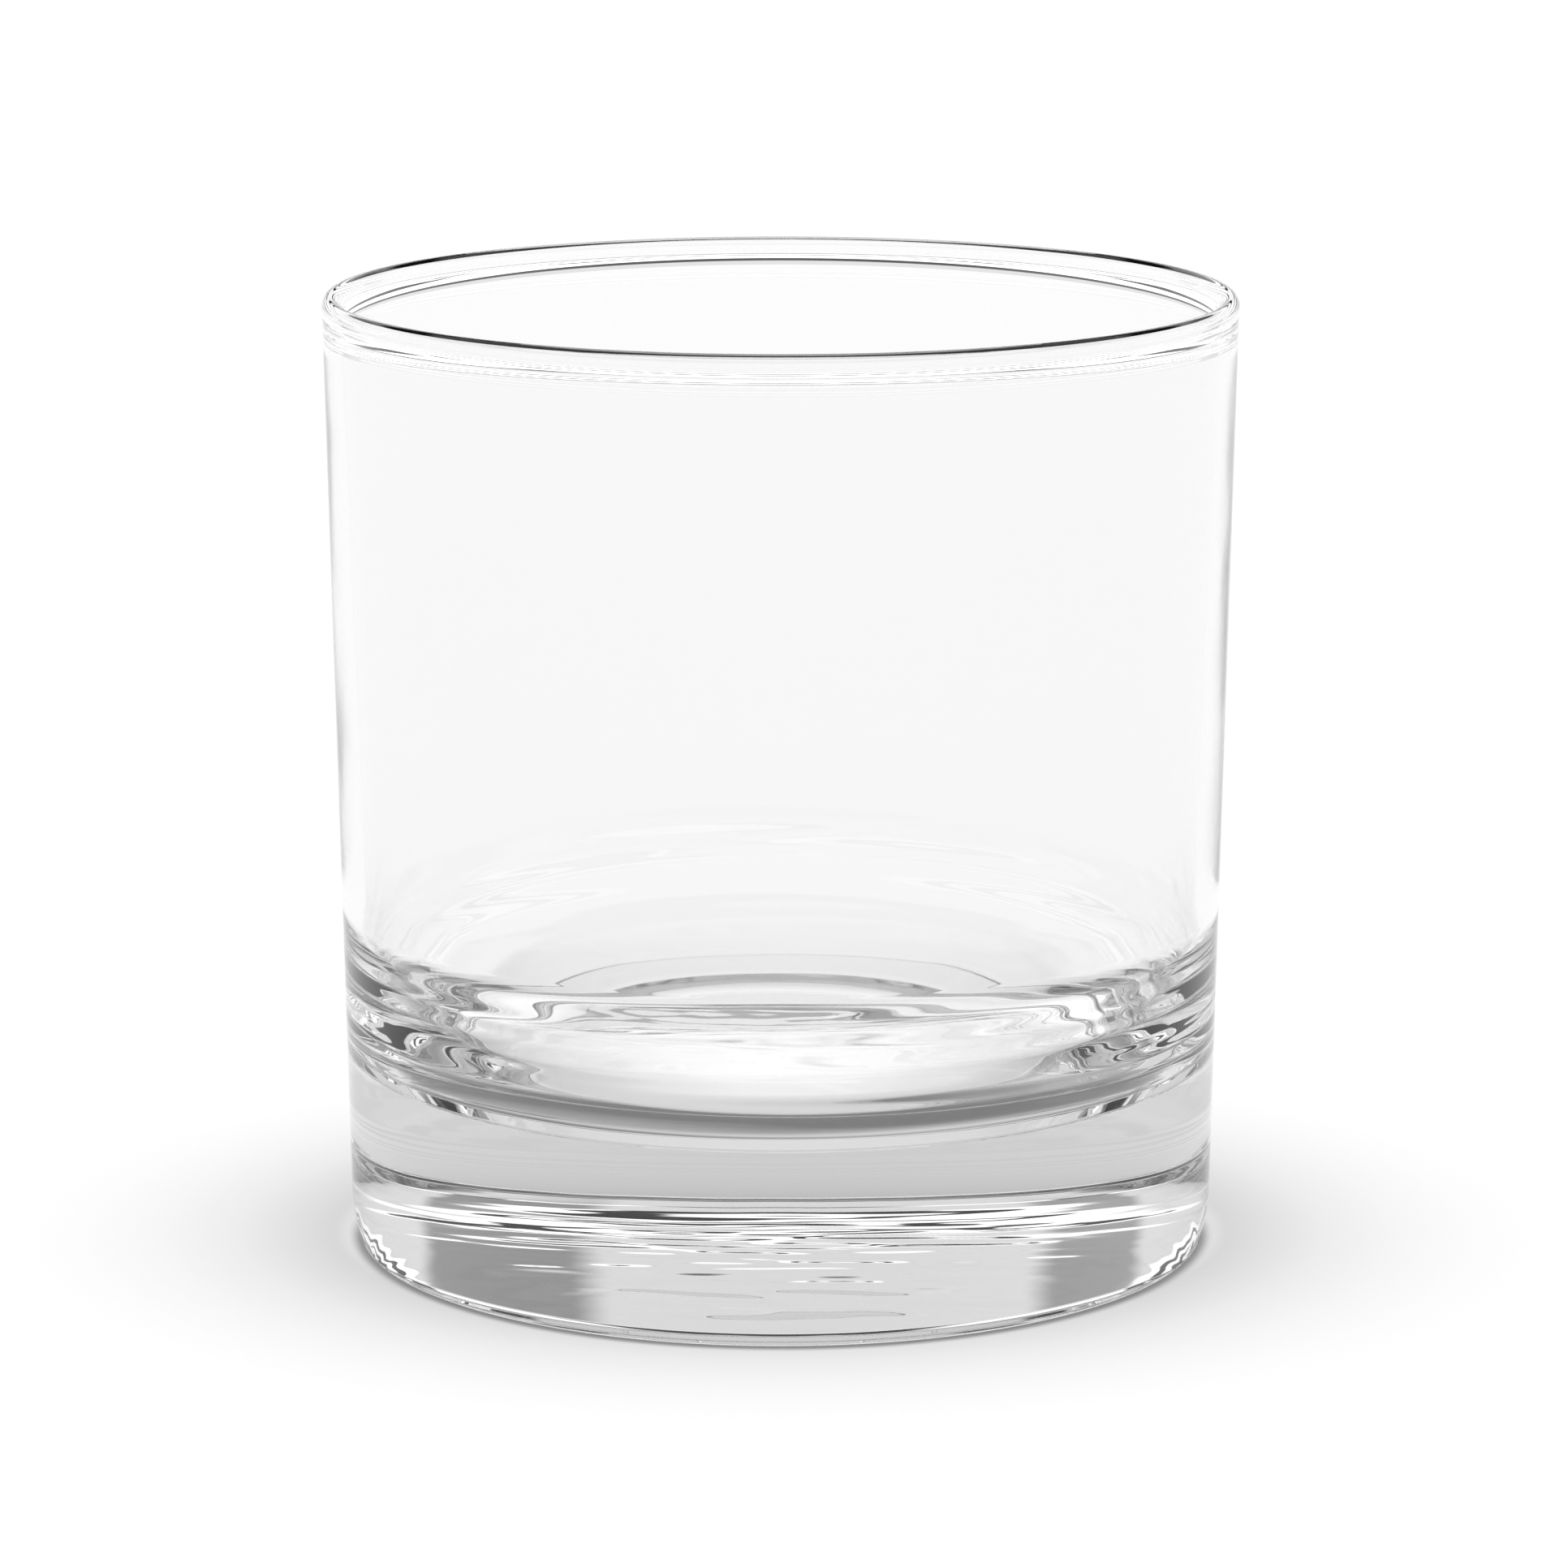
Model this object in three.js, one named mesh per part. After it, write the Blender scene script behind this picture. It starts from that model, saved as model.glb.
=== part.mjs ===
// A whiskey tumbler: one piece of clear glass with a heavy base, a rounded rim and a shallow
// recess under the foot. The glass is a solid of revolution about Z.
// Millimetres, +Z up, origin at the centre of the circle on which the foot rests.

import * as THREE from 'three';

// Overall size
const HEIGHT = 85;
const RIM_RADIUS = 40.3; // at the widest point of the rim bead
const BASE_RADIUS = 38.62; // where the tapered wall meets the foot

// Rim bead: an upright ellipse, a little thicker than the wall below it
const BEAD_THICKNESS = 1.7;
const BEAD_HALF_HEIGHT = 1.3;
const BEAD_NECK_ANGLE = 30; // degrees below the bead's widest point where the walls meet it

// Foot: a slow curve in from the wall, a small round edge, then the flat ring it stands on
const FOOT_CURVE_HEIGHT = 4.2;
const FOOT_CURVE_INSET = 0.68;
const FOOT_BEND_SHARE = 1 / 6; // part of the inset at the curve's bend, halfway up
const FOOT_EDGE_RADIUS = 0.35;
const FOOT_EDGE_TOP_ANGLE = -10; // degrees below level where the round edge meets the slow curve
const RING_WIDTH = 5.5;

// Recess under the foot: a short slope up from the ring, a narrow level ledge, then a low dome
const STEP_WIDTH = 0.5;
const STEP_HEIGHT = 0.35;
const LEDGE_WIDTH = 2.5;
const RECESS_DEPTH = 1.4;

// Inside of the bowl: a tapered wall, an elliptical corner, a short bevel and a faintly dished floor
const CORNER_WALL_THICKNESS = 2.05;
const CORNER_TOP = 30.5;
const CORNER_DROP = 14.6; // upright half axis of the corner's ellipse
const CORNER_REACH = 8.6; // level half axis of the corner's ellipse
const BEVEL_RADIUS = 32.4;
const FLOOR_RADIUS = 30.5;
const FLOOR_HEIGHT = 16;
const FLOOR_DISH = 0.3;

// Fineness of the turned surface
const SEGMENTS = 80;
const BEAD_STEPS = 8;
const CORNER_STEPS = 9;
const FOOT_CURVE_STEPS = 3;
const FOOT_EDGE_STEPS = 3;
const DOME_STEPS = 3;

/** Points on an ellipse arc in the half-plane (radius, height), from one angle to another in degrees. */
function ellipseArc(centre, radiusAcross, radiusUp, fromAngle, toAngle, steps) {
  const from = THREE.MathUtils.degToRad(fromAngle);
  const to = THREE.MathUtils.degToRad(toAngle);
  const curve = new THREE.EllipseCurve(centre.x, centre.y, radiusAcross, radiusUp, from, to, to < from);
  return curve.getPoints(steps);
}

/** Points on a low dome, a parabola from its edge ring in to its middle height on the axis. */
function domeArc(edge, middleHeight, steps) {
  const points = [];
  for (let step = 0; step <= steps; step += 1) {
    const share = 1 - step / steps;
    points.push(new THREE.Vector2(edge.x * share, middleHeight + (edge.y - middleHeight) * share ** 2));
  }
  return points;
}

/** The underside, from the axis out to the foot's round edge: dome, ledge, short slope, resting ring. */
function undersideProfile(ringOuter) {
  const ringInner = ringOuter - RING_WIDTH;
  const ledgeOuter = new THREE.Vector2(ringInner - STEP_WIDTH, STEP_HEIGHT);
  const ledgeInner = new THREE.Vector2(ledgeOuter.x - LEDGE_WIDTH, STEP_HEIGHT);
  const dome = domeArc(ledgeInner, RECESS_DEPTH, DOME_STEPS).reverse();
  return [...dome, ledgeOuter, new THREE.Vector2(ringInner, 0), new THREE.Vector2(ringOuter, 0)];
}

/** The foot, from the resting ring up to the wall: a round edge, then a slow curve. */
function footProfile(ringOuter) {
  const centre = new THREE.Vector2(ringOuter, FOOT_EDGE_RADIUS);
  const radius = FOOT_EDGE_RADIUS;
  const edge = ellipseArc(centre, radius, radius, -90, FOOT_EDGE_TOP_ANGLE, FOOT_EDGE_STEPS);
  const curveStart = edge[edge.length - 1];
  const curveEnd = new THREE.Vector2(BASE_RADIUS, FOOT_CURVE_HEIGHT);
  const bendRadius = BASE_RADIUS - FOOT_CURVE_INSET * FOOT_BEND_SHARE;
  const bend = new THREE.Vector2(bendRadius, FOOT_CURVE_HEIGHT / 2);
  const curve = new THREE.QuadraticBezierCurve(curveStart, bend, curveEnd).getPoints(FOOT_CURVE_STEPS);
  return [...edge.slice(1), ...curve.slice(1)];
}

/** The rim bead, from the top of the outer wall over to the top of the inner wall. */
function rimProfile() {
  const halfThickness = BEAD_THICKNESS / 2;
  const centre = new THREE.Vector2(RIM_RADIUS - halfThickness, HEIGHT - BEAD_HALF_HEIGHT);
  const fromAngle = -BEAD_NECK_ANGLE;
  const toAngle = 180 + BEAD_NECK_ANGLE;
  return ellipseArc(centre, halfThickness, BEAD_HALF_HEIGHT, fromAngle, toAngle, BEAD_STEPS);
}

/** The inside of the bowl below the inner wall: corner, bevel, then the floor in to the axis. */
function bowlProfile() {
  const taper = (RIM_RADIUS - BASE_RADIUS) / HEIGHT;
  const innerRadius = BASE_RADIUS + taper * CORNER_TOP - CORNER_WALL_THICKNESS;
  const centre = new THREE.Vector2(innerRadius - CORNER_REACH, CORNER_TOP);
  const lastAngle = -THREE.MathUtils.radToDeg(Math.acos((BEVEL_RADIUS - centre.x) / CORNER_REACH));
  const corner = ellipseArc(centre, CORNER_REACH, CORNER_DROP, 0, lastAngle, CORNER_STEPS);
  const floorEdge = new THREE.Vector2(FLOOR_RADIUS, FLOOR_HEIGHT);
  return [...corner, ...domeArc(floorEdge, FLOOR_HEIGHT - FLOOR_DISH, DOME_STEPS)];
}

/** The whole glass, turned from one profile that starts and ends on the axis. */
function tumblerGlass() {
  const ringOuter = BASE_RADIUS - FOOT_CURVE_INSET - FOOT_EDGE_RADIUS;
  const profile = [
    ...undersideProfile(ringOuter),
    ...footProfile(ringOuter),
    ...rimProfile(),
    ...bowlProfile(),
  ];
  const geometry = new THREE.LatheGeometry(profile, SEGMENTS);
  geometry.rotateX(Math.PI / 2);
  const clearGlass = new THREE.MeshStandardMaterial({
    color: 0xf2f5f5,
    roughness: 0.03,
    metalness: 0,
    transparent: true,
    opacity: 0.35,
  });
  const glass = new THREE.Mesh(geometry, clearGlass);
  glass.name = 'tumbler_glass';
  return glass;
}

const tumbler = new THREE.Group();
tumbler.add(tumblerGlass());

export default tumbler;
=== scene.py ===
"""The looks of a whiskey tumbler: one piece of clear glass with a heavy base, on a pale studio floor."""

import math

import bpy
import numpy as np
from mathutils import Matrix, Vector


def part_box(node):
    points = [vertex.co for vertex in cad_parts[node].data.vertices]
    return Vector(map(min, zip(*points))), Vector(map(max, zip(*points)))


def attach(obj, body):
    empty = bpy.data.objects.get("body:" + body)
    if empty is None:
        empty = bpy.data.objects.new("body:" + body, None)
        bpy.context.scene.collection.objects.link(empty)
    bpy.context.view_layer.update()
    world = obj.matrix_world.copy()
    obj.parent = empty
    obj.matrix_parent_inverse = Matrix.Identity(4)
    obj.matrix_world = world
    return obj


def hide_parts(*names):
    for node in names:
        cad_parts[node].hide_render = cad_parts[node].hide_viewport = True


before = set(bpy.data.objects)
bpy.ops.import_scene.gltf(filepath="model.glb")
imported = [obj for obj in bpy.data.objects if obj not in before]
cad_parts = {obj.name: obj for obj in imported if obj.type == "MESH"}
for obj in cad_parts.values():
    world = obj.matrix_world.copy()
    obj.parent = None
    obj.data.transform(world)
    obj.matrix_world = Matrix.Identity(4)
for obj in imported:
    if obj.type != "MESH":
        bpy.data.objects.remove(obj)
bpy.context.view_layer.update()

bl_info = {
    "name": "Whiskey Tumbler",
    "version": (1, 0, 0),
    "blender": (4, 5, 0),
    "location": "3D View > Sidebar > Tumbler",
    "description": "Makes a clear glass tumbler on a plain studio stage",
    "category": "Add Mesh",
}

MM = 0.001
GLASS_NODE = "tumbler_glass"
GLASS_PIECE = "tumbler_clear_glass"
LOW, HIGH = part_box(GLASS_NODE)
PER_METRE = 1000  # millimetres in a metre

# Points along each stretch of the glass's profile
RECESS_POINTS = 120
LEDGE_POINTS = 6
STEP_POINTS = 5
RING_POINTS = 8
EDGE_POINTS = 8
FOOT_POINTS = 16
OUTER_WALL_POINTS = 28
BEAD_POINTS = 33
INNER_WALL_POINTS = 24
CORNER_POINTS = 90
BEVEL_POINTS = 22
FLOOR_POINTS = 84
FLOOR_PACKING = 1.5  # power of the way in across the floor, which packs its points near the edge

FOOT_BEND_PART = 6  # the foot's curve bends where it is in by one part in this many of its inset
FOOT_EDGE_TOP = -10  # degrees from level where the foot's round edge meets its slow curve
BEAD_NECK = 30  # degrees below the bead's widest point where the walls meet it

# Two fine grooves, one at each edge of the bevel
GROOVE_WIDTH = 0.13 * MM
GROOVE_DEPTH = 0.09 * MM

# Moulding ripples: how strong they are in the corner and on the floor, against 1 in the recess
CORNER_SHARE = 1.4
FLOOR_SHARE = 0.12
LEVEL_TILT = 12  # degrees from level up to which a stretch has the flat ripples and not the turned ones
RIPPLE_UNIT = 4 * MM  # wavelength of a sine wave of height 1

TURNED_SEED = 7
TURNED_WAVES = 24
TURNED_SHORTEST = 1.5 * MM
TURNED_SPREAD = 4.5  # longest wavelength over the shortest
TURNED_LEAN = 3  # most turns of phase once round the axis, either way
TURNED_SHRINK = 2.5

FLAT_SEED = 3
FLAT_WAVES = 40
FLAT_SHORTEST = 2.2 * MM
FLAT_SPREAD = 4.0
FLAT_HEADING_SPREAD = 0.14  # radians either side of the Y axis
FLAT_SHRINK = 4

# Surface of the glass: noise scales are per metre
HAZE_SCALE = 60.0
HAZE_DETAIL = 3.0
WAVINESS_SCALE = 90.0
WAVINESS_DETAIL = 1.0
WAVINESS_STRENGTH = 0.02
WAVINESS_DEPTH = 0.001


# ---------------------------------------------------------------- settings


class TumblerShape(bpy.types.PropertyGroup):
    """Sizes of the glass."""

    height: bpy.props.FloatProperty(
        name="Height", description="From the table to the top of the rim",
        default=HIGH.z - LOW.z, unit="LENGTH", subtype="DISTANCE")
    rim_radius: bpy.props.FloatProperty(
        name="Rim radius", description="Radius at the widest point of the rim bead",
        default=(HIGH.x - LOW.x) / 2, unit="LENGTH", subtype="DISTANCE")
    base_radius: bpy.props.FloatProperty(
        name="Base radius", description="Radius where the wall meets the foot",
        default=38.62 * MM, unit="LENGTH", subtype="DISTANCE")
    bead_thickness: bpy.props.FloatProperty(
        name="Bead thickness", description="Thickness of the glass at the rounded rim",
        default=1.7 * MM, unit="LENGTH", subtype="DISTANCE")
    bead_half_height: bpy.props.FloatProperty(
        name="Bead half height", description="From the bead's widest point up to its top",
        default=1.3 * MM, unit="LENGTH", subtype="DISTANCE")
    corner_wall: bpy.props.FloatProperty(
        name="Lower wall thickness", description="Thickness of the wall where the bowl's corner starts",
        default=2.05 * MM, unit="LENGTH", subtype="DISTANCE")
    corner_top: bpy.props.FloatProperty(
        name="Corner top", description="Height above the table where the bowl's wall starts to curve in",
        default=30.5 * MM, unit="LENGTH", subtype="DISTANCE")
    corner_drop: bpy.props.FloatProperty(
        name="Corner drop", description="Upright half axis of the corner's ellipse",
        default=14.6 * MM, unit="LENGTH", subtype="DISTANCE")
    corner_reach: bpy.props.FloatProperty(
        name="Corner reach", description="Level half axis of the corner's ellipse",
        default=8.6 * MM, unit="LENGTH", subtype="DISTANCE")
    bevel_radius: bpy.props.FloatProperty(
        name="Bevel radius", description="Radius where the corner ends in a short bevel round the floor",
        default=32.4 * MM, unit="LENGTH", subtype="DISTANCE")
    floor_radius: bpy.props.FloatProperty(
        name="Floor radius", description="Radius of the nearly flat inner floor",
        default=30.5 * MM, unit="LENGTH", subtype="DISTANCE")
    floor_height: bpy.props.FloatProperty(
        name="Floor height", description="Height of the inner floor's edge above the table",
        default=16.0 * MM, unit="LENGTH", subtype="DISTANCE")
    floor_dish: bpy.props.FloatProperty(
        name="Floor dish", description="How far the middle of the inner floor lies below its edge",
        default=0.3 * MM, unit="LENGTH", subtype="DISTANCE")
    foot_curve_height: bpy.props.FloatProperty(
        name="Foot curve height", description="Height over which the wall curves in to the foot",
        default=4.2 * MM, unit="LENGTH", subtype="DISTANCE")
    foot_curve_inset: bpy.props.FloatProperty(
        name="Foot curve inset", description="How far the wall curves in above the foot's round edge",
        default=0.68 * MM, unit="LENGTH", subtype="DISTANCE")
    foot_edge_radius: bpy.props.FloatProperty(
        name="Foot edge radius", description="Radius of the round edge of the resting ring",
        default=0.35 * MM, unit="LENGTH", subtype="DISTANCE")
    ring_width: bpy.props.FloatProperty(
        name="Ring width", description="Width of the flat ring that touches the table",
        default=5.5 * MM, unit="LENGTH", subtype="DISTANCE")
    recess_depth: bpy.props.FloatProperty(
        name="Recess depth", description="Depth of the recess inside the resting ring",
        default=1.4 * MM, unit="LENGTH", subtype="DISTANCE")
    step_height: bpy.props.FloatProperty(
        name="Step height",
        description="Height of the small slope between the resting ring and the recess",
        default=0.35 * MM, unit="LENGTH", subtype="DISTANCE")
    step_width: bpy.props.FloatProperty(
        name="Step width",
        description="Width of the small slope between the resting ring and the recess",
        default=0.5 * MM, unit="LENGTH", subtype="DISTANCE")
    ledge_width: bpy.props.FloatProperty(
        name="Ledge width",
        description="Width of the level ledge between the small slope and the recess's dome",
        default=2.5 * MM, unit="LENGTH", subtype="DISTANCE")
    ripple_height: bpy.props.FloatProperty(
        name="Ripple height", description="Height of the ripples in the corner, the floor and the recess",
        default=0.016 * MM, unit="LENGTH", subtype="DISTANCE")
    segments: bpy.props.IntProperty(
        name="Segments", description="Divisions around the axis", default=216, min=48, max=256)


class TumblerFinish(bpy.types.PropertyGroup):
    """Optical settings of the glass."""

    tint: bpy.props.FloatVectorProperty(
        name="Tint", description="Colour that the glass gives to what is seen through it",
        default=(0.965, 0.965, 0.965), size=3, subtype="COLOR", min=0, max=1)
    refraction: bpy.props.FloatProperty(
        name="Refractive index", description="Refractive index of soda-lime glass",
        default=1.52, min=1.3, max=1.9)
    polish: bpy.props.FloatProperty(
        name="Roughness", description="Greatest roughness of the fire-polished surface",
        default=0.02, min=0, max=1, subtype="FACTOR")
    depth_colour: bpy.props.FloatVectorProperty(
        name="Depth colour", description="Colour of light that has come a long way through the glass",
        default=(0.5, 0.5, 0.5), size=3, subtype="COLOR", min=0, max=1)
    depth_density: bpy.props.FloatProperty(
        name="Depth density", description="How fast the depth colour builds up, per metre",
        default=12.0, min=0)


class TumblerStage(bpy.types.PropertyGroup):
    """Floor, light and camera."""

    floor_size: bpy.props.FloatProperty(
        name="Floor radius", description="Radius of the round floor",
        default=12.0, unit="LENGTH", subtype="DISTANCE")
    floor_colour: bpy.props.FloatVectorProperty(
        name="Floor colour", description="Colour of the matt floor",
        default=(0.12, 0.12, 0.12), size=3, subtype="COLOR", min=0, max=1)
    camera_distance: bpy.props.FloatProperty(
        name="Camera distance", description="Level distance from the glass's axis to the camera",
        default=0.5607, unit="LENGTH", subtype="DISTANCE")
    camera_height: bpy.props.FloatProperty(
        name="Camera height", description="Height of the camera above the table",
        default=0.1586, unit="LENGTH", subtype="DISTANCE")
    aim_height: bpy.props.FloatProperty(
        name="Aim height", description="Height on the glass's axis that the camera looks at",
        default=0.0408, unit="LENGTH", subtype="DISTANCE")
    lens: bpy.props.FloatProperty(
        name="Lens", description="Focal length of the camera", default=147.5, unit="CAMERA")


# ---------------------------------------------------------------- shader maths

# Sockets of a colour Mix node, whose names are shared with its other kinds
MIX_FACTOR = 0
MIX_COLOUR_A = 6
MIX_COLOUR_B = 7
MIX_COLOUR_OUT = 2


class Value:
    """A shader socket that carries a number. Arithmetic on it adds Math nodes to its tree."""

    def __init__(self, wiring, socket):
        self.wiring = wiring
        self.socket = socket

    def maths(self, operation, *others):
        """The operation on this value first and then the others."""
        return self.wiring.maths(operation, self, *others)

    def __add__(self, other):
        return self.maths("ADD", other)

    def __sub__(self, other):
        return self.maths("SUBTRACT", other)

    def __rsub__(self, other):
        return self.wiring.maths("SUBTRACT", other, self)

    def __mul__(self, other):
        return self.maths("MULTIPLY", other)

    __radd__ = __add__
    __rmul__ = __mul__


class Wiring:
    """Adds nodes to one node tree and links them."""

    def __init__(self, tree):
        self.tree = tree
        tree.nodes.clear()

    def node(self, kind, settings=None, inputs=None):
        """One node of that type: its settings first, then the values or links of its sockets."""
        made = self.tree.nodes.new(kind)
        for name, setting in (settings or {}).items():
            setattr(made, name, setting)
        for key, content in (inputs or {}).items():
            if isinstance(content, Value):
                self.tree.links.new(content.socket, made.inputs[key])
            else:
                made.inputs[key].default_value = content
        return made

    def value(self, node, output):
        """The named or numbered output of a node, ready for arithmetic."""
        return Value(self, node.outputs[output])

    def maths(self, operation, *operands):
        """A Math node on these operands, which are numbers or values."""
        node = self.node("ShaderNodeMath", {"operation": operation}, dict(enumerate(operands)))
        return self.value(node, "Value")


# ---------------------------------------------------------------- the glass


def ellipse_arc(centre, across, up, from_angle, to_angle, count):
    """Radius and height of points on an ellipse: the centre plus the two half axes times the angle's
    cosine and sine, at even steps of the angle in degrees."""
    angle = np.radians(np.linspace(from_angle, to_angle, count))
    return centre[0] + across * np.cos(angle), centre[1] + up * np.sin(angle)


def bezier(start, bend, end, count):
    """Radius and height on a quadratic Bezier: the three points weighted by (1-t) squared, 2t(1-t) and
    t squared."""
    t = np.linspace(0, 1, count)
    weights = np.stack([(1 - t) ** 2, 2 * t * (1 - t), t ** 2])
    radius = np.array([start[0], bend[0], end[0]]) @ weights
    height = np.array([start[1], bend[1], end[1]]) @ weights
    return radius, height


def straight(start, end, count):
    """Radius and height on a line: the start plus an even share of the way to the end."""
    t = np.linspace(0, 1, count)
    return start[0] + (end[0] - start[0]) * t, start[1] + (end[1] - start[1]) * t


def mould_lines(radius, shape):
    """Depth of the two fine grooves at the bevel's edges: a bell curve of the radius round each edge."""
    from_inner = (radius - shape.floor_radius) / GROOVE_WIDTH
    from_outer = (radius - shape.bevel_radius) / GROOVE_WIDTH
    return GROOVE_DEPTH * (np.exp(-from_inner ** 2) + np.exp(-from_outer ** 2))


def glass_profile(shape):
    """The half section of the glass as radius and height, from the axis under the foot round to the axis
    on the inner floor. The recess and the floor are parabolas of the radius.
    Also gives how strongly each point may ripple: in the recess, 1 less the square of the share of the
    radius; in the corner, CORNER_SHARE times the square root of the sine of the way along it; on the floor,
    FLOOR_SHARE times 1 less the fourth power of the share of the radius; and 0 elsewhere."""
    ring_outer = shape.base_radius - shape.foot_curve_inset - shape.foot_edge_radius
    ring_inner = ring_outer - shape.ring_width
    ledge_outer = ring_inner - shape.step_width
    recess_edge = ledge_outer - shape.ledge_width
    recess_r = np.linspace(0, recess_edge, RECESS_POINTS)
    recess_z = shape.recess_depth - (shape.recess_depth - shape.step_height) * (recess_r / recess_edge) ** 2
    ledge = straight((recess_edge, shape.step_height), (ledge_outer, shape.step_height), LEDGE_POINTS)
    step = straight((ledge_outer, shape.step_height), (ring_inner, 0), STEP_POINTS)
    ring = straight((ring_inner, 0), (ring_outer, 0), RING_POINTS)
    edge = ellipse_arc((ring_outer, shape.foot_edge_radius), shape.foot_edge_radius,
                       shape.foot_edge_radius, -90, FOOT_EDGE_TOP, EDGE_POINTS)
    wall_foot = (shape.base_radius, shape.foot_curve_height)
    foot_bend = (shape.base_radius - shape.foot_curve_inset / FOOT_BEND_PART, shape.foot_curve_height / 2)
    foot = bezier((edge[0][-1], edge[1][-1]), foot_bend, wall_foot, FOOT_POINTS)
    half = shape.bead_thickness / 2
    bead = ellipse_arc((shape.rim_radius - half, shape.height - shape.bead_half_height), half,
                       shape.bead_half_height, -BEAD_NECK, 180 + BEAD_NECK, BEAD_POINTS)
    outer_wall = straight(wall_foot, (bead[0][0], bead[1][0]), OUTER_WALL_POINTS)
    taper = (shape.rim_radius - shape.base_radius) / shape.height
    inner_radius = shape.base_radius + taper * shape.corner_top - shape.corner_wall
    inner_wall = straight((bead[0][-1], bead[1][-1]), (inner_radius, shape.corner_top),
                          INNER_WALL_POINTS)
    corner_centre = (inner_radius - shape.corner_reach, shape.corner_top)
    last_angle = math.degrees(math.acos((shape.bevel_radius - corner_centre[0]) / shape.corner_reach))
    corner = ellipse_arc(corner_centre, shape.corner_reach, shape.corner_drop, 0, -last_angle,
                         CORNER_POINTS)
    bevel = straight((corner[0][-1], corner[1][-1]), (shape.floor_radius, shape.floor_height),
                     BEVEL_POINTS)
    floor_r = shape.floor_radius * (1 - np.linspace(0, 1, FLOOR_POINTS) ** FLOOR_PACKING)
    floor_z = shape.floor_height - shape.floor_dish * (1 - (floor_r / shape.floor_radius) ** 2)
    corner = (corner[0], corner[1] - mould_lines(corner[0], shape))
    bevel = (bevel[0], bevel[1] - mould_lines(bevel[0], shape))
    floor_z = floor_z - mould_lines(floor_r, shape)
    recess_swell = 1 - (recess_r / recess_edge) ** 2
    corner_swell = CORNER_SHARE * np.sqrt(np.sin(np.linspace(0, math.pi, CORNER_POINTS)).clip(0))
    floor_swell = FLOOR_SHARE * (1 - (floor_r / shape.floor_radius) ** 4)
    stretches = [
        ((recess_r, recess_z), recess_swell),
        (ledge, 0),
        (step, 0),
        (ring, 0),
        (edge, 0),
        (foot, 0),
        (outer_wall, 0),
        (bead, 0),
        (inner_wall, 0),
        (corner, corner_swell),
        (bevel, 0),
        ((floor_r, floor_z), floor_swell),
    ]
    radius = np.concatenate([points[0][:-1] for points, _ in stretches] + [[0.0]])
    height = np.concatenate([points[1][:-1] for points, _ in stretches] + [[floor_z[-1]]])
    swells = [np.broadcast_to(swell, len(points[0]))[:-1] for points, swell in stretches]
    strength = np.concatenate(swells + [[FLOOR_SHARE]])
    return radius, height, strength


def turned_ripples(along, angle):
    """Ripples drawn out round the axis: a sum of sine waves over the distance along the profile and the
    angle, each with its own wavelength, lean and phase. Each is as high as its wavelength, so that all are
    equally steep."""
    rng = np.random.default_rng(TURNED_SEED)
    total = 0
    for _ in range(TURNED_WAVES):
        wavelength = TURNED_SHORTEST * TURNED_SPREAD ** rng.uniform()
        turns = rng.integers(-TURNED_LEAN, TURNED_LEAN + 1)
        phase = rng.uniform(0, 2 * math.pi)
        sine = np.sin(2 * math.pi * along / wavelength + turns * angle + phase)
        total = total + wavelength / RIPPLE_UNIT * sine
    return total / TURNED_SHRINK


def flat_ripples(x, y):
    """Ripples that run nearly along Y, with crests nearly along X: a sum of sine waves over x and y, each
    with its own direction, wavelength and phase. Each is as high as its wavelength, so that all are equally
    steep."""
    rng = np.random.default_rng(FLAT_SEED)
    total = 0
    for _ in range(FLAT_WAVES):
        wavelength = FLAT_SHORTEST * FLAT_SPREAD ** rng.uniform()
        heading = rng.normal(math.pi / 2, FLAT_HEADING_SPREAD)
        phase = rng.uniform(0, 2 * math.pi)
        run = (x * math.cos(heading) + y * math.sin(heading)) / wavelength
        total = total + wavelength / RIPPLE_UNIT * np.sin(2 * math.pi * run + phase)
    return total / FLAT_SHRINK


def lathe_mesh(name, points):
    """A closed mesh from a grid of points, profile by angle, whose first and last rows lie on the axis.
    Quads join neighbouring rows round the axis, and a fan of triangles closes each end."""
    rows, turns = points.shape[:2]
    ring = points[1:-1].reshape(-1, 3)
    vertices = np.concatenate([points[:1, 0], ring, points[-1:, 0]])
    row = np.arange(rows - 3)[:, None] * turns + 1
    here = np.arange(turns)[None, :]
    after = (here + 1) % turns
    quads = np.stack([row + here, row + after, row + turns + after, row + turns + here], axis=-1)
    first = np.stack([np.zeros(turns, int), 1 + after[0], 1 + here[0]], axis=-1)
    top = 1 + (rows - 3) * turns
    last = np.stack([np.full(turns, len(vertices) - 1), top + here[0], top + after[0]], axis=-1)
    faces = [*quads.reshape(-1, 4).tolist(), *first.tolist(), *last.tolist()]
    mesh = bpy.data.meshes.new(name)
    mesh.from_pydata(vertices.tolist(), [], faces)
    mesh.polygons.foreach_set("use_smooth", np.ones(len(mesh.polygons), bool))
    mesh.update()
    return mesh


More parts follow.
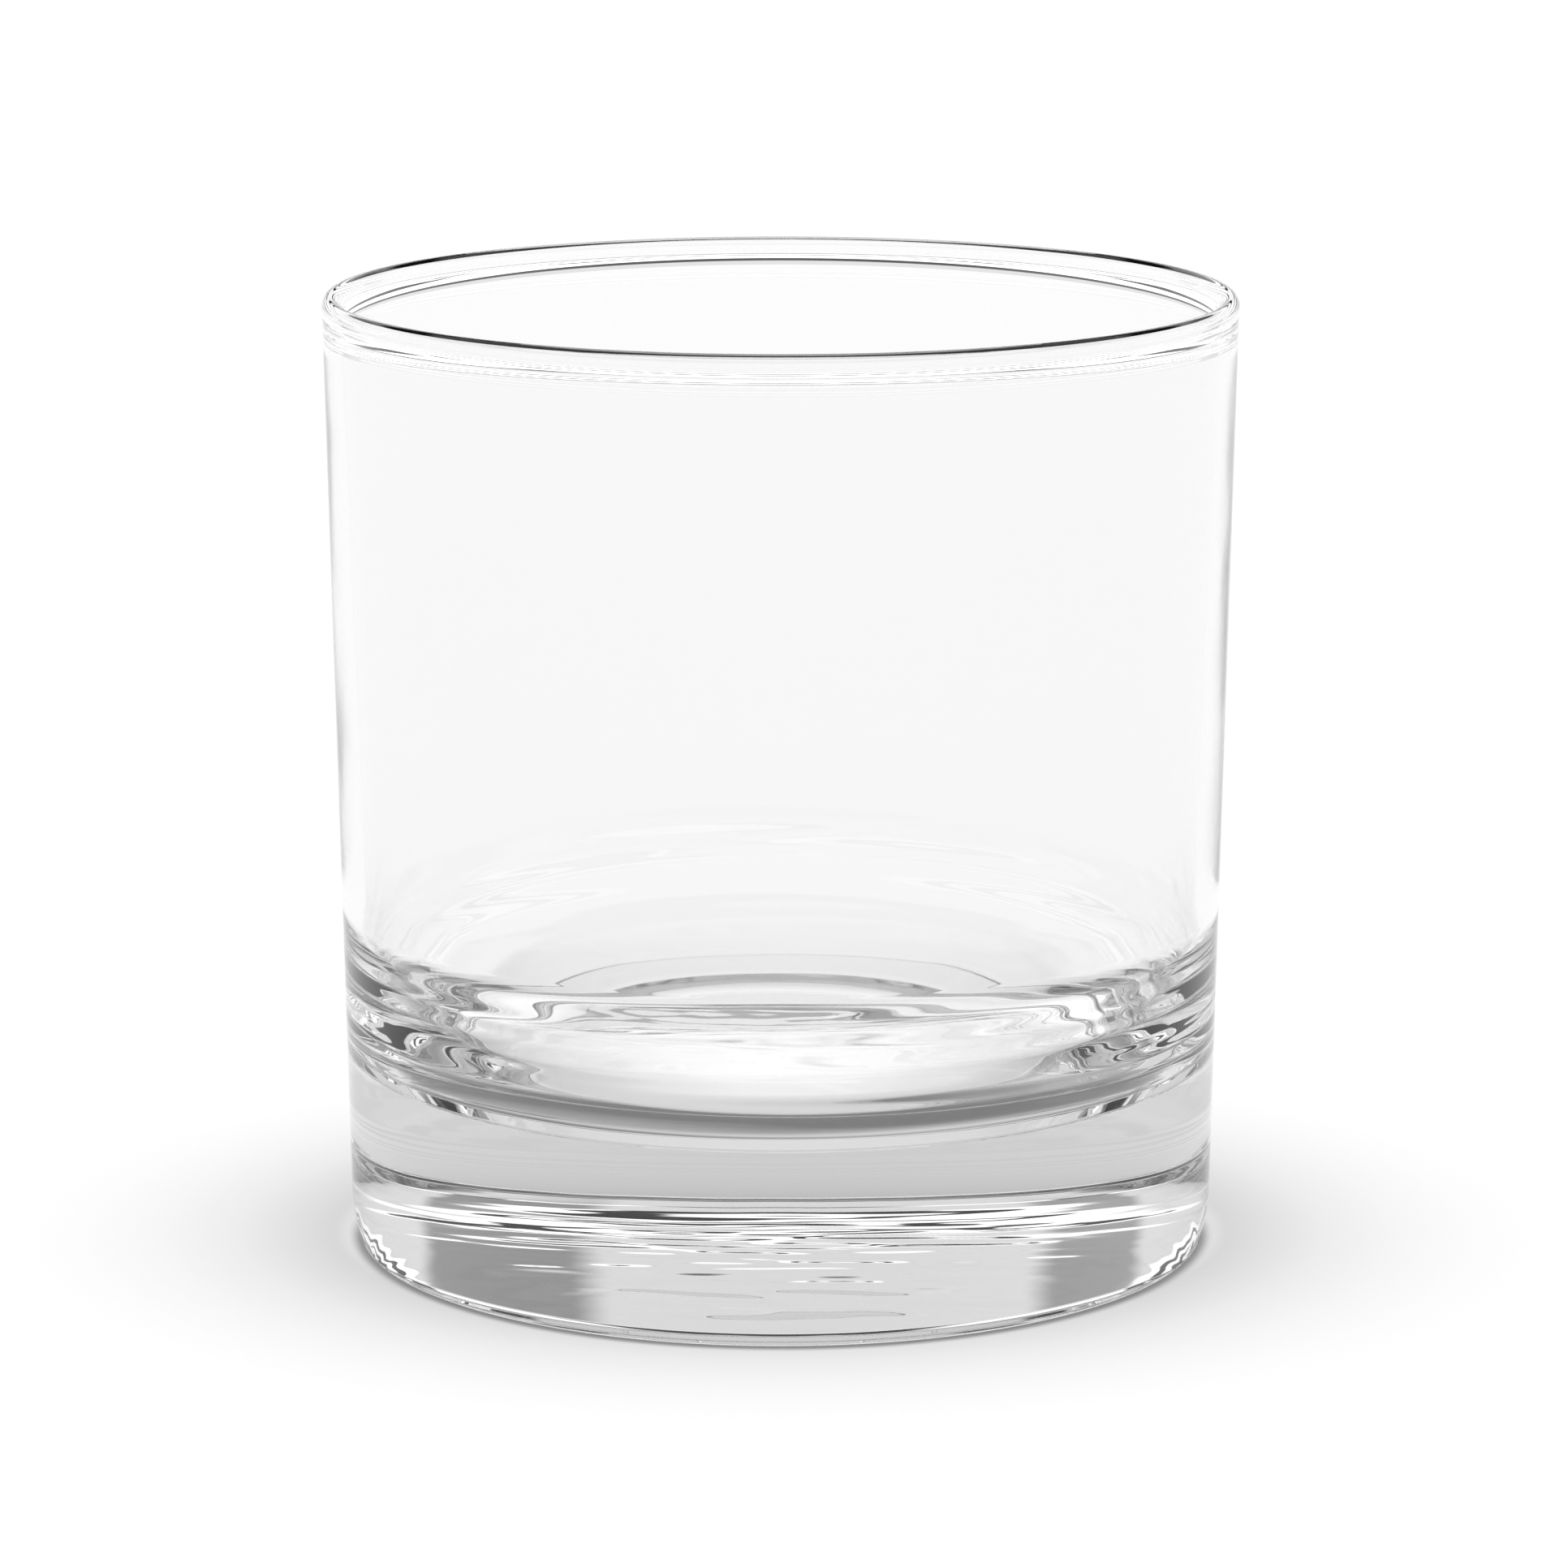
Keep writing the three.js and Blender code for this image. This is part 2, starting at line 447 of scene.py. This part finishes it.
def glass_surface(shape):
    """The profile carried round the axis. Each point moves along the profile's own normal by the ripple
    height times its strength times a ripple sum: the flat one on level stretches and the turned one
    elsewhere."""
    radius, height, strength = glass_profile(shape)
    step_r, step_z = np.gradient(radius), np.gradient(height)
    length = np.hypot(step_r, step_z)
    along = np.cumsum(length)
    normal_r, normal_z = step_z / length, -step_r / length
    angle = np.linspace(0, 2 * math.pi, shape.segments, endpoint=False)
    x, y = radius[:, None] * np.cos(angle), radius[:, None] * np.sin(angle)
    turned = turned_ripples(along[:, None], angle[None, :])
    level = np.abs(normal_z)[:, None] > math.cos(math.radians(LEVEL_TILT))
    wave = np.where(level, flat_ripples(x, y), turned)
    lift = shape.ripple_height * strength[:, None] * wave
    r = radius[:, None] + lift * normal_r[:, None]
    z = height[:, None] + lift * normal_z[:, None]
    return np.stack([r * np.cos(angle), r * np.sin(angle), z], axis=-1)


def clear_glass(finish):
    """Clear fire-polished glass: even tint and refraction, a faint haze that comes and goes, a very low,
    wide waviness of the surface, and absorption that greys the light over a long way through the glass."""
    material = bpy.data.materials.new("clear_glass")
    material.use_nodes = True
    wiring = Wiring(material.node_tree)
    place = wiring.value(wiring.node("ShaderNodeTexCoord"), "Object")
    haze = wiring.value(wiring.node("ShaderNodeTexNoise", {}, {
        "Vector": place, "Scale": HAZE_SCALE, "Detail": HAZE_DETAIL}), "Fac")
    waviness = wiring.value(wiring.node("ShaderNodeTexNoise", {}, {
        "Vector": place, "Scale": WAVINESS_SCALE, "Detail": WAVINESS_DETAIL}), "Fac")
    bump = wiring.node("ShaderNodeBump", {}, {
        "Strength": WAVINESS_STRENGTH, "Distance": WAVINESS_DEPTH, "Height": waviness})
    shader = wiring.node("ShaderNodeBsdfPrincipled", {}, {
        "Base Color": (*finish.tint, 1.0),
        "Roughness": haze * finish.polish,
        "IOR": finish.refraction,
        "Transmission Weight": 1.0,
        "Normal": wiring.value(bump, "Normal"),
    })
    depth = wiring.node("ShaderNodeVolumeAbsorption", {}, {
        "Color": (*finish.depth_colour, 1.0), "Density": finish.depth_density})
    wiring.node("ShaderNodeOutputMaterial", {}, {
        "Surface": wiring.value(shader, "BSDF"), "Volume": wiring.value(depth, "Volume")})
    return material


class MakeGlass(bpy.types.Operator):
    """Makes the glass and puts it in the place of its plain CAD solid"""

    bl_idname = "tumbler.make_glass"
    bl_label = "Glass"

    def execute(self, context):
        shape = context.scene.tumbler_shape
        mesh = lathe_mesh(GLASS_PIECE, glass_surface(shape))
        piece = bpy.data.objects.new(GLASS_PIECE, mesh)
        context.scene.collection.objects.link(piece)
        mesh.materials.append(clear_glass(context.scene.tumbler_finish))
        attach(piece, "root")
        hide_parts(GLASS_NODE)
        return {"FINISHED"}


# ---------------------------------------------------------------- the stage

# Studio panels: azimuth from straight behind the glass towards +X, elevation, half width, half height,
# softness of the edge, all in degrees, and brightness
PANELS = (
    (0, 70, 190, 32, 14, 0.9),
    (0, 35, 190, 5, 3, 0.05),
    (0, 22, 190, 7, 1.0, 1.45),
    (31, 20, 13, 6, 5, 0.55),
    (-36, 20, 9, 6, 5, 0.65),
    (0, 8.3, 190, 6.4, 1.0, 2.4),
    (0, 1.6, 190, 0.5, 0.3, 0.1),
    (0, 4.9, 190, 0.8, 0.4, 0.05),
    (0, 9.5, 190, 0.7, 0.4, 0.05),
    (0, 12.2, 190, 0.6, 0.3, 0.05),
    (-42, 0, 6, 5, 2, 0.1),
    (42, 0, 6, 5, 2, 0.1),
)
STUDIO_BRIGHTNESS = 1.0  # between the panels
STUDIO_GREY = (0.8, 0.8, 0.8, 1.0)
WHITE = (1.0, 1.0, 1.0, 1.0)
BACKDROP_BRIGHTNESS = 1.1

# Stage floor
STAGE_FLOOR_POINTS = 96
STAGE_FLOOR_DROP = 0.03 * MM  # below the glass, so that the two faces don't meet
# Strength of the floor's emission: evenly bright away from the glass, with painted light and shade near it
GLOW = 0.94
REAR_FROM = -5 * MM  # along Y, where the painted light and shade under the glass start to change from front to rear
REAR_TO = 15 * MM

# Camera and light paths
CAMERA_ASIDE = 0.0003  # metres from the glass's axis along X
CLIP_REACH = 4  # times the floor's radius
MOST_BOUNCES = 24
GLOSSY_BOUNCES = 16
TRANSMISSION_BOUNCES = 24


def panel_mask(wiring, azimuth, elevation, panel):
    """1 inside a soft-edged rectangle of azimuth and elevation, and 0 outside it."""
    centre_az, centre_el, half_width, half_height, soft = (math.radians(x) for x in panel)
    turned = (azimuth - centre_az).maths("WRAP", math.pi, -math.pi)
    sides = []
    for offset, half in ((turned, half_width), (elevation - centre_el, half_height)):
        node = wiring.node("ShaderNodeMapRange", {"interpolation_type": "SMOOTHSTEP"}, {
            "Value": offset.maths("ABSOLUTE"),
            "From Min": half + soft / 2, "From Max": half - soft / 2, "To Min": 0.0, "To Max": 1.0})
        sides.append(wiring.value(node, "Result"))
    return sides[0] * sides[1]


def studio_world():
    """Even white for what the camera sees directly. For all other light, an even grey with each panel laid
    over the ones before it: the light so far times 1 less the panel's mask, plus its brightness times the
    mask."""
    world = bpy.data.worlds.new("studio")
    bpy.context.scene.world = world
    world.use_nodes = True
    wiring = Wiring(world.node_tree)
    direction = wiring.value(wiring.node("ShaderNodeTexCoord"), "Generated")
    parts = wiring.node("ShaderNodeSeparateXYZ", {}, {"Vector": direction})
    x, y, z = (wiring.value(parts, axis) for axis in "XYZ")
    azimuth = x.maths("ARCTAN2", y)
    elevation = z.maths("ARCSINE")
    light = STUDIO_BRIGHTNESS
    for *panel, brightness in PANELS:
        mask = panel_mask(wiring, azimuth, elevation, panel)
        light = light * (1 - mask) + brightness * mask
    lighting = wiring.node("ShaderNodeBackground", {}, {"Color": STUDIO_GREY, "Strength": light})
    backdrop = wiring.node("ShaderNodeBackground", {}, {"Color": WHITE, "Strength": BACKDROP_BRIGHTNESS})
    to_camera = wiring.value(wiring.node("ShaderNodeLightPath"), "Is Camera Ray")
    mixed = wiring.node("ShaderNodeMixShader", {}, {
        0: to_camera, 1: wiring.value(lighting, "Background"), 2: wiring.value(backdrop, "Background")})
    wiring.node("ShaderNodeOutputWorld", {}, {"Surface": wiring.value(mixed, "Shader")})


def floor_disc(radius, level):
    """A flat disc just below the glass: points at even angles on one circle, joined as one face."""
    angle = np.linspace(0, 2 * math.pi, STAGE_FLOOR_POINTS, endpoint=False)
    height = np.full(STAGE_FLOOR_POINTS, level)
    points = np.stack([radius * np.cos(angle), radius * np.sin(angle), height], axis=-1)
    mesh = bpy.data.meshes.new("studio_floor")
    mesh.from_pydata(points.tolist(), [], [list(range(STAGE_FLOOR_POINTS))])
    return mesh


# Brightness of the floor's emission against the distance from the glass's axis in millimetres, which paints
# light and shade onto the floor. The tones under the front and the rear half of the glass run in circles,
# and those of the painted soft shadow round the glass run in an oval.
# Painted under the front half of the glass: a pool of light in the middle and a dark contact ring under the
# foot
PAINTED_FRONT_TONES = ((0, 1.35), (10, 1.25), (20, 1.0), (30, 0.75), (35, 0.28), (38.0, 0.3), (38.9, 1.0))
# Painted light under the rear half of the glass, brightest just inside the foot
PAINTED_REAR_TONES = ((0, 1.35), (10, 1.3), (20, 1.2), (30, 1.3), (34.5, 1.8), (38.0, 1.6), (38.9, 1.0))
# Painted soft shadow round the glass, darkest at the foot
PAINTED_SHADOW_TONES = (
    (0, 1.0), (30, 0.95), (34.5, 0.66), (38, 0.74), (42, 0.83), (48, 0.91), (54, 0.96), (60, 0.99),
    (68, 1.0))
PAINTED_SHADOW_OVAL = 1.17  # the oval's width over its depth
TONE_REACH = 80  # distance at the end of a ramp
TONE_TOP = 1.8  # brightness that a ramp holds as 1


def tone_ramp(wiring, distance, tones):
    """Grey against distance: straight lines between the tones, which are millimetres and brightness."""
    ramp = wiring.node("ShaderNodeValToRGB", {}, {"Fac": distance * (PER_METRE / TONE_REACH)})
    stops = ramp.color_ramp.elements
    for reach, _ in tones[1:-1]:
        stops.new(reach / TONE_REACH)
    for stop, (reach, tone) in zip(stops, tones):
        stop.position = reach / TONE_REACH
        stop.color = (tone / TONE_TOP, tone / TONE_TOP, tone / TONE_TOP, 1)
    return wiring.value(ramp, "Color")


def matt_floor_with_painted_light_and_shade(colour):
    """Matt floor whose emission paints light and shade: the front and rear painted tones under the glass,
    mixed by a smooth step of y, times the painted soft shadow's tone. Each ramp holds its tones over
    TONE_TOP, so the strength has TONE_TOP squared."""
    material = bpy.data.materials.new("matt_floor_with_painted_light_and_shade")
    material.use_nodes = True
    wiring = Wiring(material.node_tree)
    place = wiring.node("ShaderNodeSeparateXYZ", {}, {
        "Vector": wiring.value(wiring.node("ShaderNodeTexCoord"), "Object")})
    x, y = wiring.value(place, "X"), wiring.value(place, "Y")
    round_square = x * x + y * y
    oval_square = x * x * (1 / PAINTED_SHADOW_OVAL ** 2) + y * y
    distance = round_square.maths("SQRT")
    behind = wiring.value(wiring.node("ShaderNodeMapRange", {"interpolation_type": "SMOOTHSTEP"}, {
        "Value": y, "From Min": REAR_FROM, "From Max": REAR_TO, "To Min": 0.0, "To Max": 1.0}), "Result")
    # Painted light and dark contact ring under the glass, front and rear, mixed by a smooth step of y
    painted_front_tone = tone_ramp(wiring, distance, PAINTED_FRONT_TONES)
    painted_rear_tone = tone_ramp(wiring, distance, PAINTED_REAR_TONES)
    foot = wiring.node("ShaderNodeMix", {"data_type": "RGBA"}, {
        MIX_FACTOR: behind, MIX_COLOUR_A: painted_front_tone, MIX_COLOUR_B: painted_rear_tone})
    # Painted soft shadow round the glass, in an oval
    shade = tone_ramp(wiring, oval_square.maths("SQRT"), PAINTED_SHADOW_TONES)
    painted_floor_tones = wiring.node("ShaderNodeMix", {"data_type": "RGBA", "blend_type": "MULTIPLY"}, {
        MIX_FACTOR: 1.0, MIX_COLOUR_A: wiring.value(foot, MIX_COLOUR_OUT), MIX_COLOUR_B: shade})
    shader = wiring.node("ShaderNodeBsdfPrincipled", {}, {
        "Base Color": (*colour, 1.0),
        "Roughness": 1.0,
        "Specular IOR Level": 0.0,
        # The emission carries the painted light and shade
        "Emission Color": wiring.value(painted_floor_tones, MIX_COLOUR_OUT),
        "Emission Strength": GLOW * TONE_TOP ** 2,
    })
    wiring.node("ShaderNodeOutputMaterial", {}, {"Surface": wiring.value(shader, "BSDF")})
    return material


class MakeStage(bpy.types.Operator):
    """Makes the floor, the studio light and the camera"""

    bl_idname = "tumbler.make_stage"
    bl_label = "Stage"

    def execute(self, context):
        scene = context.scene
        stage = scene.tumbler_stage
        floor = bpy.data.objects.new("studio_floor", floor_disc(stage.floor_size, LOW.z - STAGE_FLOOR_DROP))
        floor.data.materials.append(matt_floor_with_painted_light_and_shade(stage.floor_colour))
        scene.collection.objects.link(floor)
        studio_world()
        camera = bpy.data.objects.new("camera", bpy.data.cameras.new("camera"))
        camera.data.lens = stage.lens
        camera.data.clip_end = CLIP_REACH * stage.floor_size
        camera.location = (CAMERA_ASIDE, -stage.camera_distance, stage.camera_height)
        aim = Vector((CAMERA_ASIDE, 0, stage.aim_height)) - camera.location
        camera.rotation_euler = aim.to_track_quat("-Z", "Y").to_euler()
        scene.collection.objects.link(camera)
        scene.camera = camera
        scene.view_settings.view_transform = "Standard"
        scene.cycles.max_bounces = MOST_BOUNCES
        scene.cycles.glossy_bounces = GLOSSY_BOUNCES
        scene.cycles.transmission_bounces = TRANSMISSION_BOUNCES
        return {"FINISHED"}


class TumblerPanel(bpy.types.Panel):
    """Lists the operators and settings in the sidebar."""

    bl_idname = "VIEW3D_PT_tumbler"
    bl_label = "Whiskey tumbler"
    bl_space_type = "VIEW_3D"
    bl_region_type = "UI"
    bl_category = "Tumbler"

    def draw(self, context):
        for operator in (MakeGlass, MakeStage):
            self.layout.operator(operator.bl_idname)
        scene = context.scene
        for group in (scene.tumbler_shape, scene.tumbler_finish, scene.tumbler_stage):
            for name in group.__annotations__:
                self.layout.prop(group, name)


CLASSES = (TumblerShape, TumblerFinish, TumblerStage, MakeGlass, MakeStage, TumblerPanel)


def register():
    for cls in CLASSES:
        bpy.utils.register_class(cls)
    bpy.types.Scene.tumbler_shape = bpy.props.PointerProperty(type=TumblerShape)
    bpy.types.Scene.tumbler_finish = bpy.props.PointerProperty(type=TumblerFinish)
    bpy.types.Scene.tumbler_stage = bpy.props.PointerProperty(type=TumblerStage)


def unregister():
    del bpy.types.Scene.tumbler_stage
    del bpy.types.Scene.tumbler_finish
    del bpy.types.Scene.tumbler_shape
    for cls in reversed(CLASSES):
        bpy.utils.unregister_class(cls)


def main():
    register()
    bpy.ops.tumbler.make_stage()
    bpy.ops.tumbler.make_glass()


if __name__ == "__main__":
    main()
